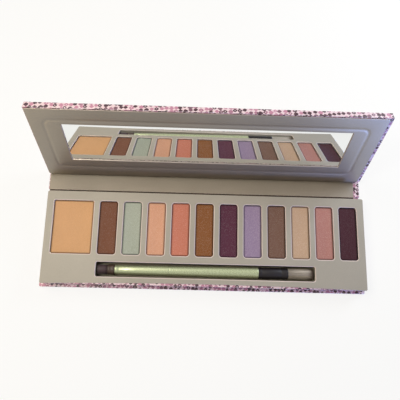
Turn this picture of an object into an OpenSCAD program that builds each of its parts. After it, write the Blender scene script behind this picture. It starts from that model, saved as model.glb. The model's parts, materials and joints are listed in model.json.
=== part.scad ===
// Eyeshadow palette in a book-style board cover, with a mirror in the lid and a double-ended brush.
// The origin is at the middle of the underside of the base cover.
// X runs along the palette, Y to its back and Z up.

/* [Cover] */
// Length of the cover panels
cover_w = 234; // [210:1:250]
// Depth of the base cover in front of the tray, the lip that a thumb opens
front_lip = 2.4; // [1:0.2:6]
// Thickness of the greyboard in the three cover panels
board_t = 1.5; // [1:0.1:2.5]
// Thickness of the printed paper round the boards
wrap_t = 0.3; // [0.2:0.05:0.4]
// How far the shut lid stops short of the tray's front edge
lid_inset = 0.8; // [0:0.1:1.5]
// Gap between the tray and the closed spine or lid
closing_gap = 0.3; // [0.2:0.05:0.6]
// Corner radius of the cover panels
cover_r = 1.2; // [0.6:0.1:2]

/* [Tray] */
// Width of cover left of the tray
tray_left = 2.8; // [1:0.1:6]
// Width of cover right of the tray
tray_right = 1.2; // [1:0.1:6]
// Height of the tray block
block_h = 8; // [7.9:0.1:10]
// Thickness of the card on top of the tray
plate_t = 0.4; // [0.3:0.05:0.8]
// Width of card behind the row of pans
rear_rail = 6.7; // [5:0.1:9]
// Width of card between the pans and the brush
middle_rail = 5.2; // [3:0.1:8]
// Width of card in front of the brush
front_rail = 5.5; // [5:0.1:9]
// Depth of the shallow arc along the front edge of the card
front_arc = 1.8; // [0.5:0.1:2.4]

/* [Pans] */
// Number of narrow pans
narrow_count = 11; // [8:1:11]
// Width of a narrow pan's window
narrow_w = 13; // [11:0.1:14]
// Width of the large pan's window
large_w = 28.6; // [20:0.1:29]
// Depth of every pan's window, front to back
pan_d = 38.4; // [30:0.2:45]
// Width of card outside the first and the last window
row_margin = 5.275; // [4:0.025:9]
// Corner radius of a pan's window
pan_r = 1.3; // [0.8:0.1:2]
// Height of a metal pan
pan_h = 3.2; // [2:0.1:4]
// Wall thickness of a metal pan
pan_wall = 0.3; // [0.2:0.05:0.4]
// How far a pan's rim hides beneath the card
rim_cover = 0.4; // [0.35:0.05:0.6]
// Gap between a pan and its pocket
pan_clearance = 0.15; // [0.1:0.05:0.25]
// Depth of the pressed powder's face below the pan's rim
powder_drop = 0.3; // [0.1:0.05:0.8]
// Height of the step round the powder's face
powder_crown = 0.2; // [0.1:0.05:0.25]
// Width of the step round the powder's face
powder_step = 0.6; // [0.4:0.05:1]

/* [Brush well] */
// Length of the brush well
well_l = 155; // [140:0.2:170]
// Width of the brush well
well_w = 10.2; // [9:0.1:12]
// How far the well lies to the right of the tray's middle
well_offset = 0.7; // [-10:0.1:10]
// Thickness of the formed trough in the well
trough_t = 0.3; // [0.2:0.05:0.4]
// Gap between the trough and the block
trough_clearance = 0.1; // [0.05:0.05:0.2]

/* [Brush] */
// Diameter of the brush at its ferrule
ferrule_d = 7.9; // [7.3:0.1:7.9]
// Diameter of the handle at its far end
handle_end_d = 6.4; // [5.5:0.1:7.2]
// Length of the small applicator's tuft
tuft_l = 8; // [5:0.1:10]
// Length of the collar that holds the tuft
collar_l = 4.9; // [3:0.1:8]
// Length of the rear part of the handle, up to its seam
handle_rear_l = 38.3; // [30:0.1:45]
// Length of the ferrule
ferrule_l = 21; // [15:0.1:25]
// Length of the bristles in front of the ferrule
bristle_l = 18.3; // [12:0.1:22]
// Gap left at the small end of the well
brush_end_gap = 0.2; // [0.1:0.05:1]
// Gap left in front of the bristles
brush_tip_gap = 0.7; // [0.2:0.05:1.5]
// Gap beneath the brush
brush_clearance = 0.1; // [0.05:0.05:0.15]

/* [Lid] */
// Thickness of the frame that holds the mirror
spacer_t = 3; // [2.8:0.1:5]
// Thickness of the satin card on the lid's inner face
liner_t = 0.6; // [0.4:0.05:1]
// Printed border left round the sides of the satin card
liner_side = 2; // [1:0.1:4]
// Printed border left at the lid's front edge
liner_front = 0.8; // [0.5:0.1:3]
// Angle of the lid above the table in the rest pose
lid_angle = 66.4; // [30:0.2:88]
// Thickness of the mirror
mirror_t = 2; // [1.5:0.1:2]
// How far the mirror's tape stays inside its edge
tape_inset = 3; // [1:0.5:6]
// Width of lid left of the visible mirror
mirror_left = 21.2; // [20:0.1:40]
// Width of lid right of the visible mirror
mirror_right = 21.8; // [20:0.1:40]
// Width of lid between the fold and the visible mirror
mirror_rear = 17; // [10:0.1:25]
// Width of lid in front of the visible mirror
mirror_front = 13.8; // [10:0.1:25]
// How far the mirror reaches beneath the satin card
mirror_cover = 1.5; // [1:0.1:3]
// Gap between the mirror's edge and its frame
mirror_clearance = 0.2; // [0.1:0.05:0.4]
// Width of the groove pressed round the satin card
groove_w = 0.5; // [0.3:0.05:0.8]
// Distance of the groove from the mirror's window
groove_inset = 6; // [4:0.2:7]

/* [Spine] */
// Thickness of the paper that lines the spine
spine_liner_t = 0.2; // [0.1:0.05:0.3]
// Printed border left at each end of the spine's lining
spine_border = 4.5; // [2:0.1:8]
// Gap left at each fold for the board to turn
fold_gap = 0.6; // [0.6:0.05:0.8]

/* [Closure] */
// Diameter of the lid's two magnets
magnet_d = 8; // [5:0.5:8]
// Thickness of the magnets and of the steel discs beneath them
magnet_t = 1.5; // [1:0.1:1.8]
// Distance of each magnet from the cover's side
magnet_side = 13; // [8:0.5:14]
// Distance of each magnet behind the tray's front edge
magnet_y = 9; // [8:0.5:12]
// Gap round a magnet or a steel disc
magnet_clearance = 0.15; // [0.1:0.05:0.3]

/* [Hidden] */
$fn = 64;
// A cut or a rebate runs past the face it opens by this much.
past = 1;
// Width of the paper turned in under the cards.
turn_in = 3.5;

// Heights above the table.
cover_t = wrap_t + board_t;
core_top = cover_t + block_h;
tray_top = core_top + plate_t;

// The tray's length and middle, and its depth from back to front.
tray_w = cover_w - tray_left - tray_right;
tray_x = (tray_left - tray_right) / 2;
well_gap = trough_t + trough_clearance;
tray_d = rear_rail + pan_d + middle_rail + well_w + front_rail;
cover_d = tray_d + front_lip;
tray_back = cover_d / 2;
tray_front = tray_back - tray_d;
pan_y = tray_back - rear_rail - pan_d / 2;
well_x = tray_x + well_offset;
well_y = tray_front + front_rail + well_w / 2;

// The row of windows from left to right.
row_w = tray_w - 2 * row_margin;
row_left = tray_x - row_w / 2;
pan_web = (row_w - large_w) / narrow_count - narrow_w;
function window_w(i) = i == 0 ? large_w : narrow_w;
function window_x(i) = i == 0
    ? row_left + large_w / 2
    : row_left + large_w + i * pan_web + (i - 0.5) * narrow_w;
pan_bottom = core_top - pan_h;

// The folds. Each turns about the outer corner of the closed cover.
spine_t = cover_t + spine_liner_t;
lid_t = cover_t + spacer_t + liner_t;
base_fold_y = tray_back + closing_gap + spine_t;
spine_l = tray_top + closing_gap + lid_t;
lid_fold_y = base_fold_y + spine_l;
lid_start = spine_t + closing_gap;
lid_l = tray_d + closing_gap + spine_t - lid_inset;

// The magnets, from the middle.
magnet_x = cover_w / 2 - magnet_side;

// The brush along X from its small end. The front part of its handle takes up what is left of the well.
brush_z = cover_t + trough_t + brush_clearance + ferrule_d / 2;
brush_x = well_x - well_l / 2 + brush_end_gap;
collar_x = brush_x + tuft_l;
handle_x = collar_x + collar_l;
seam_x = handle_x + handle_rear_l;
bristle_x = well_x + well_l / 2 - brush_tip_gap - bristle_l;
ferrule_x = bristle_x - ferrule_l;
handle_front_l = ferrule_x - seam_x;
seam_d = handle_end_d + (ferrule_d - handle_end_d) * handle_rear_l / (handle_rear_l + handle_front_l);
handle_top_d = ferrule_d - 0.3;

// The lid's stack, measured from its outer face.
spacer_bottom = cover_t;
spacer_top = spacer_bottom + spacer_t;
lid_d = lid_l - lid_start;
lid_y = lid_start + lid_d / 2;
mirror_w = cover_w - mirror_left - mirror_right;
mirror_d = lid_d - mirror_rear - mirror_front;
mirror_x = (mirror_left - mirror_right) / 2;
mirror_y = lid_start + mirror_rear + mirror_d / 2;
glass_w = mirror_w + 2 * mirror_cover;
glass_d = mirror_d + 2 * mirror_cover;

powder_colors = [
    [0.84, 0.65, 0.48], [0.48, 0.31, 0.24], [0.65, 0.68, 0.60], [0.85, 0.64, 0.50],
    [0.78, 0.48, 0.39], [0.53, 0.35, 0.20], [0.35, 0.20, 0.26], [0.60, 0.51, 0.61],
    [0.48, 0.34, 0.29], [0.76, 0.62, 0.52], [0.69, 0.47, 0.44], [0.30, 0.18, 0.18]
];
print_color = [0.86, 0.68, 0.74];
card_color = [0.69, 0.66, 0.60];
satin_color = [0.55, 0.53, 0.53];
board_color = [0.55, 0.52, 0.48];

// ---- Shapes ----

// A flat panel with rounded corners, from its lowest corner upwards.
module panel(w, d, t, r) {
    linear_extrude(height = t)
        rounded(w, d, r);
}

// A rectangle about the origin with rounded corners.
module rounded(w, d, r) {
    union() {
        square([w - 2 * r, d], center = true);
        square([w, d - 2 * r], center = true);
        for (x = [-1, 1], y = [-1, 1])
            translate([x * (w / 2 - r), y * (d / 2 - r)]) circle(r = r);
    }
}

// Places a child at every window of the row.
module at_window(i) {
    translate([window_x(i), pan_y, 0]) children();
}

// Turns the lid from flat on the table to its angle at rest.
module lid_frame() {
    translate([0, lid_fold_y, 0]) rotate([lid_angle, 0, 0]) children();
}

// A round section along X with straight sides between its diameters.
module taper(x, l, d0, d1) {
    translate([x, well_y, brush_z])
        rotate([0, 90, 0])
            cylinder(h = l, d1 = d0, d2 = d1);
}

// ---- Base cover ----

module base_board() {
    color(board_color)
        translate([0, 0, wrap_t])
            panel(cover_w - 2 * wrap_t, cover_d - 2 * wrap_t, board_t, cover_r - wrap_t);
}

module base_wrap() {
    color(print_color) {
        difference() {
            panel(cover_w, cover_d, cover_t + wrap_t, cover_r);
            translate([0, 0, wrap_t])
                panel(cover_w - 2 * wrap_t, cover_d - 2 * wrap_t, board_t, cover_r - wrap_t);
            // The turned-in border stops at the tray.
            translate([tray_x - tray_w / 2, tray_front, cover_t - wrap_t])
                cube([tray_w, tray_d + past, 2 * wrap_t + past]);
        }
        // The tail of the paper runs back to the fold.
        translate([-cover_w / 2, tray_back - cover_r, 0])
            cube([cover_w, base_fold_y - tray_back + cover_r - wrap_t / 2, wrap_t]);
    }
}

// ---- Tray ----

module tray_core() {
    pocket = rim_cover + pan_clearance;
    rebate_w = turn_in - wrap_t;
    color(board_color)
        difference() {
            translate([tray_x, (tray_back + tray_front) / 2, cover_t])
                panel(tray_w - 2 * wrap_t, tray_d - 2 * wrap_t, block_h, cover_r - wrap_t);
            for (i = [0 : narrow_count])
                at_window(i)
                    translate([0, 0, pan_bottom])
                        panel(window_w(i) + 2 * pocket, pan_d + 2 * pocket, pan_h + past, pan_r + pocket);
            translate([well_x, well_y, cover_t - past])
                panel(well_l + 2 * well_gap, well_w + 2 * well_gap, block_h + 2 * past, pan_r + well_gap);
            for (side = [-1, 1])
                translate([side * magnet_x, tray_front + magnet_y, core_top - magnet_t])
                    cylinder(d = magnet_d + 2 * magnet_clearance, h = magnet_t + past);
            // The rebate that the paper turns into along the front edge.
            translate([tray_x - tray_w / 2, tray_front - past, core_top - wrap_t])
                cube([tray_w, past + wrap_t + rebate_w, wrap_t + past]);
        }
}

module tray_wrap() {
    color(print_color)
        difference() {
            translate([tray_x, (tray_back + tray_front) / 2, cover_t])
                panel(tray_w, tray_d, block_h, cover_r);
            // The block fills the paper up to the rebate, and above it behind the turned-in strip.
            translate([tray_x, (tray_back + tray_front) / 2, cover_t - past])
                panel(tray_w - 2 * wrap_t, tray_d - 2 * wrap_t, past + block_h - wrap_t, cover_r - wrap_t);
            intersection() {
                translate([tray_x, (tray_back + tray_front) / 2, core_top - 2 * wrap_t])
                    panel(tray_w - 2 * wrap_t, tray_d - 2 * wrap_t, 2 * wrap_t + past, cover_r - wrap_t);
                translate([tray_x - tray_w / 2, tray_front + turn_in, core_top - 2 * wrap_t])
                    cube([tray_w, tray_d, 2 * wrap_t + past]);
            }
        }
}

module tray_plate() {
    // The arc runs between the two front corners and rises front_arc in the middle.
    half = tray_w / 2 - cover_r;
    arc_r = (half * half + front_arc * front_arc) / (2 * front_arc);
    color(card_color)
        difference() {
            translate([tray_x, (tray_back + tray_front) / 2, core_top])
                panel(tray_w, tray_d, plate_t, cover_r);
            for (i = [0 : narrow_count])
                at_window(i)
                    translate([0, 0, core_top - past])
                        panel(window_w(i), pan_d, plate_t + 2 * past, pan_r);
            translate([well_x, well_y, core_top - past])
                panel(well_l, well_w, plate_t + 2 * past, pan_r);
            translate([tray_x, tray_front + front_arc - arc_r, core_top - past])
                cylinder(r = arc_r, h = plate_t + 2 * past, $fn = 720);
        }
}

module brush_trough() {
    color(card_color)
        translate([well_x, well_y, cover_t])
            difference() {
                panel(well_l + 2 * trough_t, well_w + 2 * trough_t, block_h, pan_r + trough_t);
                translate([0, 0, trough_t])
                    panel(well_l, well_w, block_h, pan_r);
            }
}

module steel_disc(side) {
    color("silver")
        translate([side * magnet_x, tray_front + magnet_y, core_top - magnet_t])
            cylinder(d = magnet_d, h = magnet_t);
}

// ---- Pans ----

module pan(i) {
    w = window_w(i) + 2 * rim_cover;
    d = pan_d + 2 * rim_cover;
    r = pan_r + rim_cover;
    color("gainsboro")
        at_window(i)
            translate([0, 0, pan_bottom])
                difference() {
                    panel(w, d, pan_h, r);
                    translate([0, 0, pan_wall])
                        panel(w - 2 * pan_wall, d - 2 * pan_wall, pan_h, r - pan_wall);
                }
}

module powder(i) {
    w = window_w(i) + 2 * rim_cover - 2 * pan_wall;
    d = pan_d + 2 * rim_cover - 2 * pan_wall;
    r = pan_r + rim_cover - pan_wall;
    cake_t = pan_h - pan_wall - powder_drop;
    color(powder_colors[i])
        at_window(i)
            translate([0, 0, pan_bottom + pan_wall]) {
                panel(w, d, cake_t - powder_crown, r);
                // The pressed face has a small step inside its edge.
                translate([0, 0, cake_t - powder_crown])
                    panel(w - 2 * powder_step, d - 2 * powder_step, powder_crown, r - powder_step);
            }
}

// ---- Spine ----

// The spine lies flat on the table behind the base at rest.
spine_y = base_fold_y + spine_l / 2;
spine_d = spine_l - 2 * fold_gap;

module spine_board() {
    color(board_color)
        translate([0, spine_y, wrap_t])
            panel(cover_w - 2 * wrap_t, spine_d - 2 * wrap_t, board_t, cover_r - wrap_t);
}

module spine_wrap() {
    border = spine_border;
    color(print_color)
        translate([0, spine_y, 0])
            difference() {
                panel(cover_w, spine_d, cover_t + spine_liner_t, cover_r);
                translate([0, 0, wrap_t])
                    panel(cover_w - 2 * wrap_t, spine_d - 2 * wrap_t, board_t, cover_r - wrap_t);
                translate([-cover_w / 2 + border, -spine_d / 2 - past, cover_t])
                    cube([cover_w - 2 * border, spine_d + 2 * past, spine_liner_t + past]);
            }
}

module spine_liner() {
    color(card_color)
        translate([0, spine_y, cover_t])
            linear_extrude(height = spine_liner_t)
                square([cover_w - 2 * spine_border, spine_d], center = true);
}

// ---- Lid, drawn flat from the fold along +Y with its outer face down ----

module lid_board() {
    color(board_color)
        lid_frame()
            translate([0, lid_y, wrap_t])
                panel(cover_w - 2 * wrap_t, lid_d - 2 * wrap_t, board_t, cover_r - wrap_t);
}

module lid_wrap() {
    ring = turn_in;
    inner_w = cover_w - 2 * wrap_t;
    inner_d = lid_d - 2 * wrap_t;
    color(print_color)
        lid_frame() {
            difference() {
                translate([0, lid_y, 0]) panel(cover_w, lid_d, spacer_top, cover_r);
                translate([0, lid_y, wrap_t])
                    panel(inner_w, inner_d, spacer_top - 2 * wrap_t, cover_r - wrap_t);
                translate([0, lid_y, spacer_top - 2 * wrap_t])
                    panel(cover_w - 2 * ring, lid_d - 2 * ring, 2 * wrap_t + past, cover_r - wrap_t);
            }
            // The tail of the paper runs down to the fold.
            translate([-cover_w / 2, wrap_t / 2, 0])
                cube([cover_w, lid_start + cover_r - wrap_t / 2, wrap_t]);
        }
}

module lid_spacer() {
    ring = turn_in;
    inner_w = cover_w - 2 * wrap_t;
    inner_d = lid_d - 2 * wrap_t;
    color(board_color)
        lid_frame()
            difference() {
                translate([0, lid_y, spacer_bottom])
                    union() {
                        panel(inner_w, inner_d, spacer_t - wrap_t, cover_r - wrap_t);
                        panel(cover_w - 2 * ring, lid_d - 2 * ring, spacer_t, cover_r - wrap_t);
                    }
                translate([mirror_x, mirror_y, spacer_bottom - past])
                    panel(
                        glass_w + 2 * mirror_clearance,
                        glass_d + 2 * mirror_clearance,
                        spacer_t + 2 * past,
                        cover_r
                    );
                for (side = [-1, 1])
                    magnet_place(side)
                        cylinder(d = magnet_d + 2 * magnet_clearance, h = magnet_t + past);
            }
}

module lid_liner() {
    front = lid_d / 2 - liner_front;
    back = -lid_d / 2 + wrap_t;
    groove_x = mirror_w + 2 * groove_inset;
    groove_y = mirror_d + 2 * groove_inset;
    color(satin_color)
        lid_frame()
            difference() {
                translate([0, lid_y, spacer_top])
                    linear_extrude(height = liner_t)
                        translate([0, (front + back) / 2])
                            rounded(cover_w - 2 * liner_side, front - back, cover_r);
                translate([mirror_x, mirror_y, spacer_top - past])
                    panel(mirror_w, mirror_d, liner_t + 2 * past, 0.6);
                // A fine groove pressed round the window.
                translate([mirror_x, mirror_y, spacer_top + liner_t / 2])
                    difference() {
                        panel(groove_x, groove_y, liner_t, cover_r);
                        translate([0, 0, -past])
                            panel(
                                groove_x - 2 * groove_w,
                                groove_y - 2 * groove_w,
                                liner_t + 2 * past,
                                cover_r - groove_w
                            );
                    }
            }
}

module mirror_glass() {
    color("lightblue")
        lid_frame()
            translate([mirror_x, mirror_y, spacer_top - mirror_t])
                panel(glass_w, glass_d, mirror_t, 1);
}

module mirror_tape() {
    color("white")
        lid_frame()
            translate([mirror_x, mirror_y, spacer_bottom])
                panel(glass_w - 2 * tape_inset, glass_d - 2 * tape_inset, spacer_t - mirror_t, 1);
}

// The lid's magnets sit over the steel discs when the lid is shut.
module magnet_place(side) {
    disc_from_back = tray_d - magnet_y;
    translate([side * magnet_x, disc_from_back + closing_gap + spine_t, spacer_top - magnet_t]) children();
}

module magnet(side) {
    color("silver")
        lid_frame()
            magnet_place(side)
                cylinder(d = magnet_d, h = magnet_t);
}

// ---- Brush ----

module brush_tuft() {
    color([0.24, 0.14, 0.15])
        translate([brush_x, well_y, brush_z])
            rotate([0, 90, 0])
                rotate_extrude()
                    polygon([
                        [0, 0], [1.5, 0.1], [2.5, 0.7], [3.1, 2], [3.3, 4],
                        [handle_end_d / 2 - 0.1, tuft_l], [0, tuft_l]
                    ]);
}

module brush_collar() {
    color([0.28, 0.20, 0.16])
        taper(collar_x, collar_l, handle_end_d + 0.1, handle_end_d + 0.3);
}

module brush_handle_rear() {
    color([0.66, 0.68, 0.50])
        taper(handle_x, handle_rear_l, handle_end_d, seam_d);
}

module brush_handle_front() {
    color([0.64, 0.66, 0.48])
        taper(seam_x, handle_front_l, seam_d - 0.1, handle_top_d);
}

module brush_ferrule() {
    ring_at = [2.2, ferrule_l - 5];
    color([0.15, 0.13, 0.15])
        translate([ferrule_x, well_y, brush_z])
            rotate([0, 90, 0])
                difference() {
                    cylinder(d = ferrule_d, h = ferrule_l);
                    for (z = ring_at)
                        translate([0, 0, z])
                            difference() {
                                cylinder(d = ferrule_d + past, h = 0.6);
                                translate([0, 0, -past]) cylinder(d = ferrule_d - 0.3, h = 0.6 + 2 * past);
                            }
                }
}

module brush_bristles() {
    r = ferrule_d / 2;
    color([0.42, 0.38, 0.35])
        translate([bristle_x, well_y, brush_z])
            rotate([0, 90, 0])
                rotate_extrude()
                    polygon([
                        [0, 0], [r - 0.3, 0], [r - 0.15, bristle_l * 0.3], [r - 0.2, bristle_l * 0.6],
                        [r - 0.8, bristle_l * 0.85], [r - 2, bristle_l * 0.97], [0, bristle_l]
                    ]);
}

base_board();
base_wrap();
tray_core();
tray_wrap();
tray_plate();
brush_trough();
pan(0);  // pan_01
pan(1);  // pan_02
pan(2);  // pan_03
pan(3);  // pan_04
pan(4);  // pan_05
pan(5);  // pan_06
pan(6);  // pan_07
pan(7);  // pan_08
pan(8);  // pan_09
pan(9);  // pan_10
pan(10);  // pan_11
pan(11);  // pan_12
powder(0);  // powder_01
powder(1);  // powder_02
powder(2);  // powder_03
powder(3);  // powder_04
powder(4);  // powder_05
powder(5);  // powder_06
powder(6);  // powder_07
powder(7);  // powder_08
powder(8);  // powder_09
powder(9);  // powder_10
powder(10);  // powder_11
powder(11);  // powder_12
steel_disc(-1);  // steel_disc_left
steel_disc(1);  // steel_disc_right
spine_board();
spine_wrap();
spine_liner();
lid_board();
lid_wrap();
lid_spacer();
lid_liner();
mirror_glass();  // mirror
mirror_tape();
magnet(-1);  // magnet_left
magnet(1);  // magnet_right
brush_tuft();
brush_collar();
brush_handle_rear();
brush_handle_front();
brush_ferrule();
brush_bristles();
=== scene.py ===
"""Finishes the eyeshadow palette: papers, cards, pressed powders, brush, mirror and the studio."""

import json
import math
import random
from collections import namedtuple

import bmesh
import bpy
from bpy.props import FloatProperty, FloatVectorProperty, IntProperty, PointerProperty
from mathutils import Matrix, Vector, noise


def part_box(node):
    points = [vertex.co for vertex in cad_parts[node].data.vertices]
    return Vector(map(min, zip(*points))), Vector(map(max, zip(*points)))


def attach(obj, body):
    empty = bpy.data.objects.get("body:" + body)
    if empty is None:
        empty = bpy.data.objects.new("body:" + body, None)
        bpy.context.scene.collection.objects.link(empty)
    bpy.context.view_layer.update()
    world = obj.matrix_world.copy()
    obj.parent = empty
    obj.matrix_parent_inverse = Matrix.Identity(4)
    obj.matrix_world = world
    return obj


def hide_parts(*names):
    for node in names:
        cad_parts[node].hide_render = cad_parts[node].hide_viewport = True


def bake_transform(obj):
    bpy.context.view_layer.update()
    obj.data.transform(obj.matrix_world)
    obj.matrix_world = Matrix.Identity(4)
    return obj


bl_info = {
    "name": "Eyeshadow Palette",
    "version": (1, 0, 0),
    "blender": (4, 5, 0),
    "location": "3D View > Sidebar > Palette",
    "description": "Models and finishes an open eyeshadow palette with its brush and mirror",
    "category": "Object",
}

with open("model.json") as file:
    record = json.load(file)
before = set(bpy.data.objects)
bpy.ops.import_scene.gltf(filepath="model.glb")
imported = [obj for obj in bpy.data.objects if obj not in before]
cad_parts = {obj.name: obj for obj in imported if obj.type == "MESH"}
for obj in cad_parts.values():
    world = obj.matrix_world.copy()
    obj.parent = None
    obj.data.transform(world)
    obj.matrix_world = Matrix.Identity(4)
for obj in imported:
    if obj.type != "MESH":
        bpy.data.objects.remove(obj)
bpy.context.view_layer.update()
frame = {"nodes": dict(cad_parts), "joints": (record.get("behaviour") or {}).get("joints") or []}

MM = 0.001
JOINTS = {joint["name"]: joint for joint in frame["joints"]}
SPINE_FOLD_Y = JOINTS["spine_fold"]["pos_m"][1]
LID_FOLD_Y = JOINTS["lid_fold"]["pos_m"][1]
LID_ANGLE = -math.radians(JOINTS["lid_fold"]["range_deg"][0])
# The lid is drawn flat on the table from its fold, then turned to its angle at rest.
LID_PLACE = Matrix.Translation((0, LID_FOLD_Y, 0)) @ Matrix.Rotation(LID_ANGLE, 4, "X")
PAN_NAMES = [f"{number:02d}" for number in range(1, 13)]
# How many steps make a rounded corner, a rounded edge and the arc along the front of the tray's card.
CORNER_STEPS = 6
EDGE_STEPS = 3
ARC_CUTS = 30
# Points that are nearer than this count as one.
TINY = 1e-7
# How far paper is turned in over a board, and the corner radius of boards and cards.
TURN_IN = 3.5 * MM
CORNER = 1.2 * MM
# The corner radius of the windows and of the large first one; the corner radius and the wall of the brush's well.
WINDOW_R = 2 * MM
FIRST_WINDOW_R = 0.9 * MM
WELL_R = 1.6 * MM
WELL_WALL = 0.3 * MM
# The core of a bundle of hairs, as shares of its length and radius, and the radius of a hair at its root and tip.
CORE_LENGTH = 0.93
CORE_WIDTH = 0.9
HAIR_ROOT_R = 0.11 * MM
HAIR_TIP_R = 0.03 * MM
# In the folds: the height of the lining's and the paper's underside, and the thickness of the paper.
LINING_Z = 0.46 * MM
PAPER_Z = 0.02 * MM
FOLD_PAPER_T = 0.28 * MM


def flat_box(node, place):
    """Lowest and highest corner of a CAD node in the frame that place turns to the row's frame."""
    back = place.inverted()
    corners = [back @ v.co for v in frame["nodes"][node].data.vertices]
    return tuple(Vector([end(p[i] for p in corners) for i in range(3)]) for end in (min, max))


# ---- Sizes and colours ----


def length(name, description, default):
    """A length in metres that a user may change."""
    limits = {"min": 0, "unit": "LENGTH", "subtype": "DISTANCE"}
    return FloatProperty(name=name, description=description, default=default * MM, **limits)


def colour(name, description, default):
    """A colour, given as it looks on a screen and kept as linear light."""
    linear = [((c / 255 + 0.055) / 1.055) ** 2.4 if c > 10 else c / 255 / 12.92 for c in default]
    limits = {"size": 3, "min": 0, "max": 1, "subtype": "COLOR"}
    return FloatVectorProperty(name=name, description=description, default=linear, **limits)


class PALETTE_PG_sizes(bpy.types.PropertyGroup):
    """Sizes that the frame leaves to the finish."""

    paper_round: length("Paper rounding", "Radius of the paper where it turns round a board", 0.45)
    card_round: length("Card rounding", "Radius of a card's cut edge", 0.12)
    window_lip: length("Window lip", "Width of the rim that the card is pressed down to round each window", 0.65)
    powder_round: length("Powder rounding", "Radius of the powder's edge inside its pan", 0.6)
    powder_drop: length("Powder drop", "How far the powder lies below its pan's brim", 0.25)
    powder_shadow: length("Powder shadow", "Width of the darker line beyond the rounded edge", 0.7)
    powder_relief: length("Powder relief", "Height of the soft unevenness of the pressed powder", 0.035)
    groove_depth: length("Groove depth", "Depth of the groove pressed round the mirror", 0.16)
    groove_w: length("Groove width", "Width of the groove pressed round the mirror", 4.0)
    groove_inset: length("Groove inset", "Distance of the groove from the card's edge", 9.4)
    dot_pitch: length("Motif pitch", "Distance between the motifs printed on the paper", 3.1)
    lining_t: length("Lining", "Thickness of the lining in the folds", 0.2)
    bristle_count: IntProperty(name="Bristles", description="Number of bristles at the large end", default=900, min=50)
    tuft_count: IntProperty(name="Tuft hairs", description="Number of hairs at the small end", default=420, min=50)


class PALETTE_PG_colours(bpy.types.PropertyGroup):
    """Colours of the palette's papers, cards, brush and boards."""

    print_ground: colour("Print ground", "Ground of the printed paper", (244, 218, 223))
    print_dark: colour("Print dark", "Darkest motif of the print", (66, 28, 42))
    print_mid: colour("Print middle", "Middle motif of the print", (172, 120, 140))
    print_pale: colour("Print pale", "Palest motif of the print", (246, 226, 232))
    card: colour("Tray card", "Card round the pans", (174, 166, 155))
    lining: colour("Lining", "Paper that lines the spine", (162, 152, 139))
    satin: colour("Lid card", "Satin card round the mirror", (144, 137, 126))
    trough: colour("Brush well", "Formed well beneath the brush", (150, 142, 128))
    greyboard: colour("Greyboard", "Board inside the cover", (140, 132, 122))
    lacquer: colour("Handle", "Lacquer of the brush's handle", (178, 185, 150))
    ferrule: colour("Ferrule", "Sleeve that holds the bristles", (20, 14, 18))
    collar: colour("Collar", "Collar that holds the small tuft", (66, 50, 42))
    tuft: colour("Tuft", "Hairs at the small end", (62, 40, 46))
    bristle: colour("Bristles", "Bristles at the large end", (200, 188, 176))
    bristle_tip: colour("Bristle tips", "Tips of the large end's bristles", (96, 72, 54))


# The name of each powder, its colour and how pearly it is.
POWDER_COLOURS = (
    ("cream", (218, 168, 124), 0.25),
    ("chestnut", (121, 77, 58), 0.35),
    ("sage", (168, 173, 161), 0.8),
    ("peach", (218, 162, 134), 0.7),
    ("coral", (205, 126, 105), 0.6),
    ("caramel", (137, 85, 46), 0.6),
    ("plum", (89, 44, 64), 0.35),
    ("lilac", (156, 134, 164), 0.8),
    ("cocoa", (121, 89, 76), 0.5),
    ("sand", (200, 166, 140), 0.7),
    ("rose", (184, 128, 120), 0.7),
    ("aubergine", (68, 32, 42), 0.2),
)


class PALETTE_PG_powders(bpy.types.PropertyGroup):
    """Colours of the twelve pressed powders, from left to right."""

    __annotations__ = {
        name: colour(name.capitalize(), f"Colour of the {name} powder", tone) for name, tone, _ in POWDER_COLOURS
    }


# Where each lamp stands, the point that it is aimed at, its size, its place in words, its power and its colour.
LAMPS = {
    "key": ((-0.34, 0.4, 0.6), (0, 0, 0), 0.4, "large lamp behind at the left", 2.4, (255, 247, 234)),
    "over": ((-0.2, 0.02, 0.36), (0, 0, 0), 0.12, "warm lamp above at the left", 0.68, (255, 249, 229)),
    "rim": ((0.36, 0.26, 0.2), (0.03, 0, 0), 0.2, "lamp behind at the right", 1.5, (226, 239, 255)),
    "cool": ((0.42, -0.4, 0.04), (0.04, 0.05, 0.03), 0.07, "low lamp at the front right", 2.5, (140, 172, 255)),
    "warm": ((-0.4, -0.3, 0.06), (-0.03, 0, 0.02), 0.1, "low lamp at the front left", 0.6, (255, 231, 177)),
}


def lamp_settings():
    """The power and the colour of every lamp, as settings."""
    made = {}
    for lamp, (_, _, _, place, watts, tint) in LAMPS.items():
        name, told = f"{lamp.capitalize()} lamp power", f"Power of the {place}"
        made[f"{lamp}_power"] = FloatProperty(name=name, description=told, default=watts, min=0, unit="POWER")
        made[f"{lamp}_colour"] = colour(f"{lamp.capitalize()} lamp colour", f"Colour of the {place}", tint)
    return made


class PALETTE_PG_studio(bpy.types.PropertyGroup):
    """Lamps and background."""

    __annotations__ = {
        "fill": FloatProperty(name="Fill", description="Strength of the light from all round", default=0.05, min=0),
        "background": colour("Background", "Backdrop and floor as the camera sees them", (250, 249, 247)),
        **lamp_settings(),
    }


# ---- Materials ----


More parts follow.
